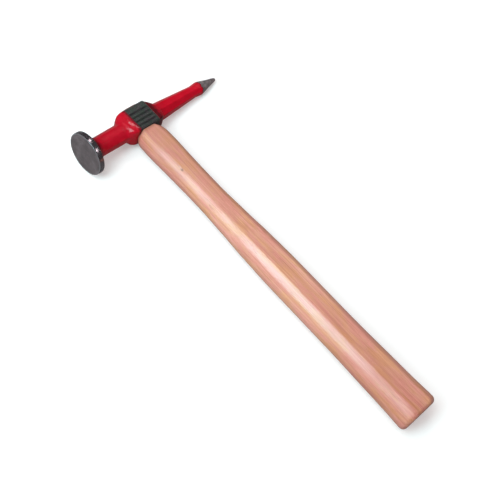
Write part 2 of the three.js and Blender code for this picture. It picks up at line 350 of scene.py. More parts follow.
ys = np.concatenate(
    [
        np.linspace(ks[0], -47.5, 14)[1:],
        np.linspace(-47.5, -42, 12)[1:],
        np.linspace(-42, -20, 16)[1:],
        np.linspace(-20, -9.4, 34)[1:],
        np.linspace(-9.4, ks[-1], 4)[1:],
    ]
)
add_rings(ys, pchip(ks, fs, ys))
# band: a small step down from the shoulder, the flat sides, and a broken edge
add_rings([-7.55, -7.25, -7.0, -6.85], [block(0, 0.22), block(0.01, 0.1), block(0.05, 0.02), block(0.06, 0.0)])
ys = np.concatenate([[-6.6, -6.45, -6.3, -6.15, -6.0], np.linspace(-5.5, 11.0, 12), [11.15, 11.3, 11.45, 11.6, 11.8, 11.95]])
add_rings(ys, [block(0, 0)] * len(ys))
add_rings([12.15, 12.32, 12.45], [block(0.06, 0), block(0.18, 0), block(0.34, 0)])
# slope down to the pick, drawn out further on the handle's side
block_f = block(0.4, 0.0)
root_f = octagon(PICK_R0)
keys = [
    (BAND_Y1, block_f),
    (mix(BAND_Y1, PICK_Y, 0.35), blend(block_f, root_f, 0.36, 0.03)),
    (mix(BAND_Y1, PICK_Y, 0.6), blend(block_f, root_f, 0.63, 0.2)),
    (mix(BAND_Y1, PICK_Y, 0.82), blend(block_f, root_f, 0.86, 0.66)),
    (PICK_Y, root_f),
    (PICK_Y + 3, octagon(mix(PICK_R0, PICK_RN, 3 / (PICK_YN - PICK_Y)))),
]
ks = [k[0] for k in keys]
fs = np.array([k[1] for k in keys])
ys = np.linspace(ks[0], ks[-1], 30)
add_rings(ys, pchip(ks, fs, ys))


def shank(y):
    if y <= PICK_YN:
        return mix(PICK_R0, PICK_RN, (y - PICK_Y) / (PICK_YN - PICK_Y))
    t = min(1, (y - PICK_YN) / (FLARE_Y - PICK_YN))
    return mix(PICK_RN, FLARE_R, t**1.35)


def cone(y):
    """The ground point, a hair full near its tip."""
    return TIP_R + CONE_SLOPE * (TIP_Y - 0.7 - y) + 0.3 * smooth(TIP_Y - 9, TIP_Y - 3, y)


def least(a, b, soft):
    """The smaller of two radii, with a rounded change from one to the other."""
    h = np.clip(0.5 + 0.5 * (b - a) / soft, 0, 1)
    return mix(b, a, h) - soft * h * (1 - h)


ys = np.concatenate(
    [np.linspace(ks[-1], 58, 20)[1:], np.linspace(58, 62.5, 7)[1:], np.linspace(62.5, 69.5, 36)[1:], np.linspace(69.5, 85.3, 16)[1:]]
)
add_rings(ys, [least(octagon(shank(y)), cone(y), 0.8) for y in ys])
for a in np.radians([18, 36, 54, 70]):
    add_rings([TIP_Y - 0.7 + 0.68 * math.sin(a)], [(TIP_R + 0.3) * (0.42 + 0.58 * math.cos(a)) * one * (0.98 if a > 1 else 1)])

rings_y = np.array(rings_y)
rings_r = np.array(rings_r)


def lift(y):
    return -PICK_LIFT * np.clip((y - BAND_Y1) / (PICK_Y - BAND_Y1), 0, 1)


X = rings_r * COS + lift(rings_y)[:, None]
Z = rings_r * SIN
Y = np.repeat(rings_y[:, None], len(PHI), axis=1)
# the sides of the shoulder are a little crowned
crown = 0.75 * smooth(-18.0, -12.5, Y) * (1 - smooth(-11.5, -7.7, Y))
Z -= np.sign(Z) * crown * np.minimum(1, np.abs(X) / 9) ** 2 * np.abs(SIN)
# forged ribs: rounded grooves along y on the two flat sides
groove = np.zeros_like(X)
for i in range(RIB_COUNT):
    c = (i - (RIB_COUNT - 1) / 2) * RIB_PITCH + 1.0
    groove = np.maximum(groove, 1 - smooth(0.25, 1.25, np.abs(X - c)))
along = smooth(-6.75, -6.1, Y) * (1 - smooth(11.2, 11.9, Y))
on_side = np.abs(SIN)[None, :] * rings_r > BAND_W - 0.6
Z -= np.sign(Z) * groove * along * on_side * RIB_DEPTH
rings = np.stack([X, Y, Z], axis=2)
# the striking face is closed by rings that shrink to its middle
inner = []
for k in (0.12, 0.3, 0.5, 0.7, 0.86, 0.96, 0.99):
    ring = rings[0].copy()
    ring[:, 0] *= k
    ring[:, 2] *= k
    inner.append(ring)
rings = np.concatenate([np.array(inner), rings])
head_mesh = outward(loft("forged_head", rings, (0, FACE_Y, 0), (-PICK_LIFT, TIP_Y - 0.02, 0)))


def oval(x, a, b, n=64):
    """Points of an oval with flat sides, at x, across the eye."""
    t = np.linspace(0, 2 * math.pi, n, endpoint=False)
    y = (a - b) * np.sign(np.cos(t)) * np.minimum(1, np.abs(np.cos(t)) * 6) + b * np.cos(t)
    return np.stack([np.full(n, x), EYE_Y + y, b * np.sin(t)], axis=1)


def eye_half(x):
    """Half sizes of the eye at x."""
    t = (x + 15) / 30
    return (
        mix(EYE_A + EYE_FLARE, EYE_A - 0.2, t),
        mix(EYE_B + EYE_FLARE, EYE_B - 0.2, t),
    )


eye_rings = []
for x in (-17, -15, -13.2, -12.9, -12.5, -10, -5, 0, 5, 10, 15):
    a, b = eye_half(x)
    open_ = max(0, -12.5 - x)
    eye_rings.append(oval(x, a + open_, b + open_))
eye = outward(loft("eye", eye_rings, (-17, EYE_Y, 0), (15, EYE_Y, 0)))
head_mesh = boolean(head_mesh, [eye])
tidy(head_mesh)
shade(head_mesh, 38)

# How far each point of the head lies inside the enamel (+) or outside it (-), in millimetres along the surface.
co = coordinates(head_mesh)
phi = np.arctan2(co[:, 2], co[:, 0] - lift(co[:, 1]))
shank_r = octagon_at(phi, np.array([shank(y) for y in co[:, 1]]), 1.5)
ground = (cone(co[:, 1]) - shank_r) / CONE_SLOPE
enamel = np.where(co[:, 1] > 40, ground + 0.5, co[:, 1] + 47.4)
attribute(head_mesh, "enamel", np.clip(enamel, -20, 20))
# How deep each point lies in the forged grooves: 0 on a rib's crest, 1 at the bottom.
depth = (BAND_W - np.abs(co[:, 2])) / RIB_DEPTH
depth = np.where((co[:, 1] > BAND_Y0 - 0.2) & (co[:, 1] < 12.0) & (co[:, 0] > -10) & (co[:, 0] < 9.9), depth, 0)
attribute(head_mesh, "rib", np.clip(depth, 0, 1))

# ---- handle ---------------------------------------------------------------------------------------------------------
HANDLE = [
    [11.16, 8.5, 8.97, -0.6],
    [12.1, 10.2, 9.45, -0.4],
    [14, 11.7, 9.75, 0],
    [17, 12.7, 9.9, 0.3],
    [22, 13.15, 9.95, 0.6],
    [30, 13.3, 10.0, None],
    [43, 12.95, 9.8, None],
    [56, 12.65, 9.6, None],
    [70, 12.45, 9.45, None],
    [83, 12.35, 9.4, None],
    [92, 12.45, 9.45, None],
    [99, 12.75, 9.65, None],
    [107, 13.15, 9.95, None],
    [116, 13.45, 10.2, None],
    [125, 13.9, 10.55, None],
    [134, 14.45, 10.95, None],
    [144, 14.8, 11.25, None],
    [154, 15.1, 11.5, None],
    [166, 15.4, 11.7, None],
    [180, 15.5, 11.8, None],
    [200, 15.5, 11.8, None],
    [220, 15.55, 11.8, None],
    [240, 15.65, 11.9, None],
    [256, 15.95, 12.1, None],
    [272, 16.3, 12.4, None],
    [288, 16.6, 12.6, None],
    [300, 16.95, 12.85, None],
    [310, 17.4, 13.15, None],
    [313.8, 17.5, 13.25, None],
]
BUTT_ROUND = 4.2
ARC, FLAT = 44, 18


def handle_ring(x, alpha, beta, c0, a0=None):
    """Points of the handle's section: flats that face z, round front and back, and a crisp arris between them."""
    if a0 is None:
        a0 = max(0.5, 0.638 * beta - 0.45)
    s = alpha - a0
    radius = (beta * beta + s * s) / (2 * s)
    c = alpha - radius
    half = math.asin(min(1, beta / radius))
    sweep = math.pi - half if s > beta else half
    # the points next to the arris lie close to it, so that its shading stays narrow
    near = 0.22
    ts = np.concatenate([[1, 1 - near / (radius * sweep)], np.linspace(1, -1, ARC + 1)[1:-1], [-1 + near / (radius * sweep)]])
    us = np.concatenate([[1, 1 - near / a0], np.linspace(1, -1, FLAT + 1)[1:-1], [-1 + near / a0]])
    pts = []
    for t in ts:
        pts.append((c + radius * math.cos(t * sweep), radius * math.sin(t * sweep)))
    for u in us:
        pts.append((a0 * u, -beta))
    for t in ts:
        pts.append((-(c + radius * math.cos(t * sweep)), -radius * math.sin(t * sweep)))
    for u in us:
        pts.append((-a0 * u, beta))
    pts = np.array(pts)
    return np.stack([np.full(len(pts), x), pts[:, 0] + c0, pts[:, 1]], axis=1)


hx = [h[0] for h in HANDLE]
hv = [[h[1], h[2], 0.65 * max(0, 1 - h[0] / 220) if h[3] is None else h[3]] for h in HANDLE]
handle_rings = []
# tenon: its end has a small broken edge, and it follows the flare of the eye
for x, d in ((TENON_TOP, 0.3), (TENON_TOP + 0.12, 0.1), (TENON_TOP + 0.35, 0)):
    a, b = eye_half(x)
    handle_rings.append(handle_ring(x, a - 0.06 - d, b - 0.06 - d, EYE_Y, a0=a - b))
for x in np.linspace(TENON_TOP + 1, 10.9, 18):
    a, b = eye_half(x)
    handle_rings.append(handle_ring(x, a - 0.06, b - 0.06, EYE_Y, a0=a - b))
a, b = eye_half(11.16)
handle_rings.append(handle_ring(11.16, a - 0.06, b - 0.06, EYE_Y, a0=a - b))
handle_rings.append(handle_ring(11.17, mix(a, 8.5, 0.5), mix(b, 8.97, 0.5), mix(EYE_Y, -0.6, 0.5)))
xs = np.concatenate([np.linspace(11.16, 22, 24), np.linspace(22, 313.8, 132)[1:]])
for x, (al, be, cc) in zip(xs, pchip(hx, hv, xs)):
    handle_rings.append(handle_ring(x, al - 0.02, be - 0.02, cc))
for t in np.linspace(0, 1, 11)[1:]:
    w = t * math.pi / 2
    drop = BUTT_ROUND * (1 - math.cos(w)) * 0.9
    handle_rings.append(
        handle_ring(BUTT_X - BUTT_ROUND + BUTT_ROUND * math.sin(w) - 0.01, 17.48 - drop, 13.23 - drop, 0)
    )
last = handle_rings[-1]
for k in (0.97, 0.85, 0.6, 0.3):
    ring = last.copy()
    ring[:, 1:] *= k
    handle_rings.append(ring)
first = handle_rings[0]
lead = []
for k in (0.3, 0.6, 0.85, 0.97):
    ring = first.copy()
    ring[:, 1] = EYE_Y + (ring[:, 1] - EYE_Y) * k
    ring[:, 2] *= k
    lead.append(ring)
handle_rings = lead + handle_rings
handle_rings = np.array(handle_rings)

# hand work: the shaved surfaces are not dead true, and there is one small dent on the arris
P = handle_rings
on_shaft = smooth(24, 60, P[:, :, 0]) * (1 - smooth(285, 312, P[:, :, 0]))
wave = (
    np.sin(P[:, :, 0] / 17.0 + 0.4) * 0.5
    + np.sin(P[:, :, 0] / 41.0 + 2.1)
    + np.sin(P[:, :, 0] / 29.0 + np.arctan2(P[:, :, 2], P[:, :, 1]) * 2 + 1.0) * 0.8
)
length = np.hypot(P[:, :, 1], P[:, :, 2])
scale = 1 - 0.035 * (1 + wave / 2.3) * on_shaft / np.maximum(length, 1)
P[:, :, 1] *= scale
P[:, :, 2] *= scale
NICK = np.array([57.9, -6.3, 9.15])
away = np.sqrt(((P[:, :, 0] - NICK[0]) / 1.6) ** 2 + ((P[:, :, 1] - NICK[1]) / 1.2) ** 2 + ((P[:, :, 2] - NICK[2]) / 1.2) ** 2)
P[:, :, 2] -= 0.4 * np.exp(-(away**2))
handle_mesh = outward(loft("hickory_handle", P, (TENON_TOP, EYE_Y, 0), (BUTT_X - 0.01, 0, 0)))


def wedge_rings(x0, t0, x1, t1, width, crosswise, ease=0.12):
    """A flat wedge along x with broken edges."""
    out = []

    def section(x, t, w, e):
        h, v = w / 2, t / 2
        pts = [
            (h - e, v), (h - e / 3, v - e / 3), (h, v - e), (h, -v + e), (h - e / 3, -v + e / 3), (h - e, -v),
            (-h + e, -v), (-h + e / 3, -v + e / 3), (-h, -v + e), (-h, v - e), (-h + e / 3, v - e / 3), (-h + e, v),
        ]
        p = np.array(pts)
        if crosswise:
            return np.stack([np.full(12, x), EYE_Y + p[:, 1], p[:, 0]], axis=1)
        return np.stack([np.full(12, x), EYE_Y + p[:, 0], p[:, 1]], axis=1)

    out.append(section(x0, t0 - 2 * ease, width - 2 * ease, ease * 0.7))
    out.append(section(x0 + ease * 0.4, t0 - ease * 0.7, width - ease * 0.7, ease))
    out.append(section(x0 + ease, t0, width, ease))
    for k in (0.25, 0.5, 0.75):
        out.append(section(mix(x0, x1, k), mix(t0, t1, k), width, ease))
    out.append(section(x1, t1, width, ease))
    return out


def wedge_mesh(name, x0, t0, x1, t1, width, crosswise, ease=0.12):
    r = wedge_rings(x0, t0, x1, t1, width, crosswise, ease)
    return outward(loft(name, r, (x0, EYE_Y, 0), (x1, EYE_Y, 0)))


def slot_mesh(name, x0, t0, x1, t1, width, crosswise, gap):
    """The sawn slot a wedge sits in, running out past the tenon's end."""
    k = (t0 - t1) / (x1 - x0)
    n = wedge_rings(x0 - 4, t0 + 4 * k + 2 * gap, x1 + gap, t1 + 2 * gap, width + 2 * gap, crosswise, 0.05)
    return outward(loft(name, n, (x0 - 4, EYE_Y, 0), (x1 + gap, EYE_Y, 0)))


top = TENON_TOP + 0.05
kerf = (top, KERF_T0, top + KERF_LEN, KERF_T1, KERF_W)
steel = (top - 0.05, STEEL_T0, top + STEEL_LEN, STEEL_T1, STEEL_W)
handle_mesh = boolean(handle_mesh, [slot_mesh("kerf_slot", *kerf, False, 0.06), slot_mesh("steel_slot", *steel, True, 0.05)])
tidy(handle_mesh)
shade(handle_mesh, 30)
kerf_mesh = boolean(wedge_mesh("kerf_wedge_wood", *kerf, False), [slot_mesh("steel_slot2", *steel, True, 0.04)])
tidy(kerf_mesh)
shade(kerf_mesh, 30)
steel_mesh = wedge_mesh("steel_wedge_plate", *steel, True, 0.15)
shade(steel_mesh, 30)


# ---- materials ------------------------------------------------------------------------------------------------------
def lin(r, g, b):
    """An 8-bit display colour as linear numbers."""
    out = []
    for c in (r, g, b):
        c /= 255
        out.append(c / 12.92 if c <= 0.04045 else ((c + 0.055) / 1.055) ** 2.4)
    return (*out, 1.0)


class Mat:
    """A material's nodes, built by calls."""

    def __init__(self, name):
        self.m = bpy.data.materials.new(name)
        self.m.use_nodes = True
        self.t = self.m.node_tree
        self.t.nodes.clear()
        out = self.add("ShaderNodeOutputMaterial")
        self.bsdf = self.add("ShaderNodeBsdfPrincipled")
        self.t.links.new(self.bsdf.outputs[0], out.inputs[0])

    def add(self, kind, **props):
        n = self.t.nodes.new(kind)
        for k, v in props.items():
            setattr(n, k, v)
        return n

    def put(self, node, key, value):
        if isinstance(value, bpy.types.NodeSocket):
            self.t.links.new(value, node.inputs[key])
        elif value is not None:
            node.inputs[key].default_value = value

    def vec(self, name):
        return self.add("ShaderNodeAttribute", attribute_name=name).outputs["Vector"]

    def fac(self, name):
        return self.add("ShaderNodeAttribute", attribute_name=name).outputs["Fac"]

    def math(self, op, a, b=None, c=None, clamp=False):
        n = self.add("ShaderNodeMath", operation=op, use_clamp=clamp)
        for i, v in enumerate((a, b, c)):
            self.put(n, i, v)
        return n.outputs[0]

    def vmath(self, op, a, b=None):
        n = self.add("ShaderNodeVectorMath", operation=op)
        self.put(n, 0, a)
        self.put(n, 1, b)
        return n.outputs["Value"] if op in ("LENGTH", "DOT_PRODUCT", "DISTANCE") else n.outputs["Vector"]

    def xyz(self, v):
        n = self.add("ShaderNodeSeparateXYZ")
        self.put(n, 0, v)
        return n.outputs

    def join(self, x, y, z):
        n = self.add("ShaderNodeCombineXYZ")
        for i, v in enumerate((x, y, z)):
            self.put(n, i, v)
        return n.outputs[0]

    def noise(self, v, scale=1.0, detail=3.0, rough=0.5, distort=0.0):
        n = self.add("ShaderNodeTexNoise")
        self.put(n, "Vector", v)
        self.put(n, "Scale", scale)
        self.put(n, "Detail", detail)
        self.put(n, "Roughness", rough)
        self.put(n, "Distortion", distort)
        return n.outputs["Fac"]

    def cells(self, v, scale=1.0):
        """Distance to the nearest of a scatter of points."""
        n = self.add("ShaderNodeTexVoronoi")
        self.put(n, "Vector", v)
        self.put(n, "Scale", scale)
        return n.outputs["Distance"]

    def smooth(self, x, lo, hi, a=0.0, b=1.0):
        n = self.add("ShaderNodeMapRange", interpolation_type="SMOOTHSTEP")
        self.put(n, "Value", x)
        self.put(n, "From Min", lo)
        self.put(n, "From Max", hi)
        self.put(n, "To Min", a)
        self.put(n, "To Max", b)
        return n.outputs["Result"]

    def line(self, x, lo, hi, a=0.0, b=1.0, clamp=True):
        n = self.add("ShaderNodeMapRange", clamp=clamp)
        self.put(n, "Value", x)
        self.put(n, "From Min", lo)
        self.put(n, "From Max", hi)
        self.put(n, "To Min", a)
        self.put(n, "To Max", b)
        return n.outputs["Result"]

    def ramp(self, x, *stops):
        n = self.add("ShaderNodeValToRGB")
        e = n.color_ramp.elements
        e[0].position, e[0].color = stops[0]
        e[1].position, e[1].color = stops[-1]
        for p, c in stops[1:-1]:
            k = e.new(p)
            k.color = c
        self.put(n, 0, x)
        return n.outputs["Color"]

    def colour(self, fac, a, b, blend="MIX"):
        n = self.add("ShaderNodeMix", data_type="RGBA", blend_type=blend)
        self.put(n, 0, fac)
        self.put(n, 6, a)
        self.put(n, 7, b)
        return n.outputs[2]

    def number(self, fac, a, b):
        n = self.add("ShaderNodeMix", data_type="FLOAT")
        self.put(n, 0, fac)
        self.put(n, 2, a)
        self.put(n, 3, b)
        return n.outputs[0]

    def bump(self, height, mm, strength=1.0, normal=None):
        """height is in units of mm millimetres."""
        n = self.add("ShaderNodeBump")
        self.put(n, "Height", height)
        self.put(n, "Distance", mm * 0.001)
        self.put(n, "Strength", strength)
        if normal is not None:
            self.put(n, "Normal", normal)
        return n.outputs["Normal"]

    def stretch(self, v, x, y, z):
        return self.vmath("MULTIPLY", v, (x, y, z))


# forged head: enamel, a dark ribbed band, ground face and point, polished rim
def make_head_material():
    k = Mat("forged_steel_enamel")
    hc = k.vec("hc")
    x, y, z = k.xyz(hc)
    # zones
    edge_noise = k.noise(hc, 0.9, 3, 0.6)
    inside = k.math("ADD", k.fac("enamel"), k.line(edge_noise, 0.3, 0.7, -0.35, 0.35))
    paint = k.smooth(inside, -0.06, 0.1)
    band = k.math("MULTIPLY", k.smooth(y, -7.45, -7.2), k.smooth(y, 12.15, 12.5, 1.0, 0.0))
    radius = k.math("SQRT", k.math("ADD", k.math("MULTIPLY", x, x), k.math("MULTIPLY", z, z)))
    face = k.smooth(y, -54.75, -54.45, 1.0, 0.0)
    rim = k.math("MULTIPLY", k.smooth(y, -54.75, -54.45), k.smooth(y, -49.4, -48.8, 1.0, 0.0))
    point = k.smooth(y, 60.0, 61.0)

    # ground steel: fine arcs on the face, fine lines round the point
    angle = k.math("ARCTAN2", z, x)
    arcs = k.noise(k.join(k.math("MULTIPLY", radius, 5.0), k.math("MULTIPLY", angle, 1.1), y), 1.0, 4, 0.65)
    cross = k.noise(k.stretch(hc, 0.9, 1.0, 7.0), 1.0, 3, 0.6)
    turned = k.noise(k.join(k.math("MULTIPLY", angle, 0.6), k.math("MULTIPLY", y, 4.5), 0.0), 1.0, 3, 0.6)
    blotch = k.noise(hc, 0.16, 3, 0.55)
    grind = k.number(face, turned, k.number(0.35, arcs, cross))
    steel = k.ramp(
        k.math("ADD", k.math("MULTIPLY", grind, 0.6), k.math("MULTIPLY", blotch, 0.4)),
        (0.34, lin(104, 91, 92)),
        (0.52, lin(133, 116, 118)),
        (0.68, lin(163, 145, 146)),
    )
    bruise = k.smooth(k.noise(hc, 0.34, 3, 0.6), 0.34, 0.62)
    ground_point = k.colour(bruise, k.colour(1.0, steel, (1.02, 1.06, 1.03, 1), "MULTIPLY"), k.colour(1.0, steel, (1.9, 1.84, 1.82, 1), "MULTIPLY"))
    steel = k.colour(point, steel, ground_point)
    ring = k.math("MULTIPLY", face, k.smooth(radius, 16.8, 17.5))
    steel = k.colour(k.math("MULTIPLY", ring, 0.5), steel, lin(160, 156, 158))
    rim_steel = k.ramp(k.noise(k.stretch(hc, 0.3, 3.0, 0.3), 1.0, 2, 0.5), (0.3, lin(128, 116, 121)), (0.7, lin(158, 145, 150)))
    steel = k.colour(rim, steel, rim_steel)
    # painted shade: the bare steel in the hollow behind the disc is darkened
    back = k.math("MULTIPLY", k.smooth(y, -49.6, -48.9), k.smooth(y, -40.0, -39.0, 1.0, 0.0))
    steel = k.colour(k.math("MULTIPLY", back, 0.8), steel, lin(44, 40, 43))

    # red enamel: slight change of depth, darker where it is thin on the edges of the forging
    tone = k.noise(hc, 0.11, 3, 0.55)
    red = k.ramp(tone, (0.3, lin(176, 3, 27)), (0.55, lin(187, 4, 31)), (0.8, lin(196, 5, 35)))
    fleck = k.smooth(k.noise(hc, 2.6, 2, 0.5), 0.74, 0.8)
    red = k.colour(k.math("MULTIPLY", fleck, 0.2), red, lin(130, 6, 18))

    # ribbed band: bare forged skin, dark and a little green-grey
    skin = k.noise(hc, 2.4, 4, 0.55)
    patch = k.noise(hc, 0.22, 3, 0.6)
    dark = k.ramp(skin, (0.28, lin(54, 50, 50)), (0.52, lin(64, 60, 58)), (0.78, lin(80, 76, 73)))
    dark = k.colour(k.smooth(patch, 0.46, 0.6, 0.0, 0.8), dark, k.colour(1.0, dark, (0.76, 1.03, 0.84, 1), "MULTIPLY"))
    dark = k.colour(k.smooth(patch, 0.5, 0.38, 0.0, 0.8), dark, k.colour(1.0, dark, (1.16, 0.86, 1.04, 1), "MULTIPLY"))
    # painted shade darkens the grooves, unevenly, and the crests are rubbed
    rib = k.fac("rib")
    groove_shade = k.math("MULTIPLY", k.smooth(rib, 0.15, 0.9), k.smooth(k.noise(hc, 0.28, 2, 0.5), 0.36, 0.6, 0.15, 0.6))
    dark = k.colour(groove_shade, dark, lin(27, 28, 27))
    worn = k.math("MULTIPLY", k.smooth(rib, 0.0, 0.06, 1.0, 0.0), k.smooth(k.noise(hc, 1.1, 3, 0.6), 0.46, 0.62))
    dark = k.colour(k.math("MULTIPLY", worn, 0.35), dark, lin(104, 104, 101))
    # painted highlight: a light reddish-brown line along the band's edge on the pick side
    rust_and_edge_highlight = k.math("MULTIPLY", k.smooth(y, 11.7, 12.2), k.smooth(k.noise(hc, 0.8, 3, 0.6), 0.3, 0.6))
    dark = k.colour(rust_and_edge_highlight, dark, lin(112, 58, 50))
    # painted light: the enamel is made lighter and redder on the pick than on the neck
    red = k.colour(k.smooth(y, 18.0, 30.0), red, k.colour(1.0, red, (1.13, 0.92, 1.06, 1), "MULTIPLY"))
    # painted shade: the enamel is darkened where the block falls away to the pick
    ragged = k.math("ADD", y, k.line(k.noise(hc, 0.5, 3, 0.6), 0.3, 0.7, -1.2, 1.2))
    slope_shade = k.math("MULTIPLY", k.smooth(y, 12.3, 12.8), k.smooth(ragged, 14.5, 19.5, 1.0, 0.0))
    red = k.colour(k.math("MULTIPLY", slope_shade, 0.88), red, lin(58, 12, 18))
    # it is smoked where it ends at the band
    lap = k.math("ADD", y, k.line(k.noise(hc, 0.7, 3, 0.6), 0.3, 0.7, -0.5, 0.5))
    lap = k.math("MULTIPLY", k.smooth(lap, -10.3, -8.0), k.smooth(y, 0.0, 1.0, 1.0, 0.0))
    red = k.colour(k.math("MULTIPLY", lap, 0.8), red, lin(92, 16, 28))
    # painted shade darkens the enamel in the hollow behind the disc, and the enamel is darker along its edge over the
    # ground point
    hollow_shade = k.smooth(k.math("ADD", y, k.line(k.noise(hc, 0.5, 3, 0.6), 0.3, 0.7, -0.8, 0.8)), -46.0, -41.5, 1.0, 0.0)
    red = k.colour(k.math("MULTIPLY", hollow_shade, 0.85), red, lin(52, 10, 20))
    edge = k.math("MULTIPLY", k.smooth(inside, 0.5, 2.1, 1.0, 0.0), k.smooth(y, 60.0, 61.0))
    red = k.colour(k.math("MULTIPLY", edge, 0.85), red, lin(88, 16, 26))

    base = k.colour(paint, steel, red)
    base = k.colour(band, base, dark)
    k.put(k.bsdf, "Base Color", base)

    bare = k.math("SUBTRACT", 1.0, paint)
    not_band = k.math("SUBTRACT", 1.0, band)
    metal = k.math("MULTIPLY", bare, not_band)
    k.put(k.bsdf, "Metallic", k.math("ADD", k.math("MULTIPLY", metal, k.number(rim, 0.6, 0.95)), k.math("MULTIPLY", band, 0.2), clamp=True))
    k.put(k.bsdf, "Specular IOR Level", 0.15)

    steel_rough = k.number(rim, k.line(grind, 0.3, 0.7, 0.3, 0.46), k.line(blotch, 0.3, 0.7, 0.19, 0.29))
    rough = k.number(paint, steel_rough, k.line(tone, 0.3, 0.7, 0.3, 0.4))
    rough = k.number(band, rough, k.line(skin, 0.3, 0.7, 0.38, 0.5))
    k.put(k.bsdf, "Roughness", rough)
    # the gloss is uneven where the tool is handled
    gloss = k.line(k.noise(hc, 0.36, 2, 0.5), 0.4, 0.6, 0.3, 0.85)
    k.put(k.bsdf, "Coat Weight", k.math("MULTIPLY", k.math("MULTIPLY", paint, not_band), k.number(slope_shade, gloss, 0.3)))
    k.put(k.bsdf, "Coat Roughness", 0.06)
    k.put(k.bsdf, "Coat IOR", 1.4)

    peel = k.noise(hc, 0.85, 2, 0.45)
    paint_height = k.math("MULTIPLY", k.math("MULTIPLY", peel, 0.05), k.math("MULTIPLY", paint, not_band))
    build = k.math("MULTIPLY", paint, 0.06)
    skin_height = k.math("MULTIPLY", k.math("ADD", k.math("MULTIPLY", skin, 0.03), k.math("MULTIPLY", patch, 0.25)), band)
    grind_height = k.math("MULTIPLY", k.math("MULTIPLY", grind, k.number(rim, 0.02, 0.003)), metal)
    height = k.math("ADD", k.math("ADD", paint_height, build), k.math("ADD", skin_height, grind_height))
    k.put(k.bsdf, "Normal", k.bump(height, 1.0))
    return k.m


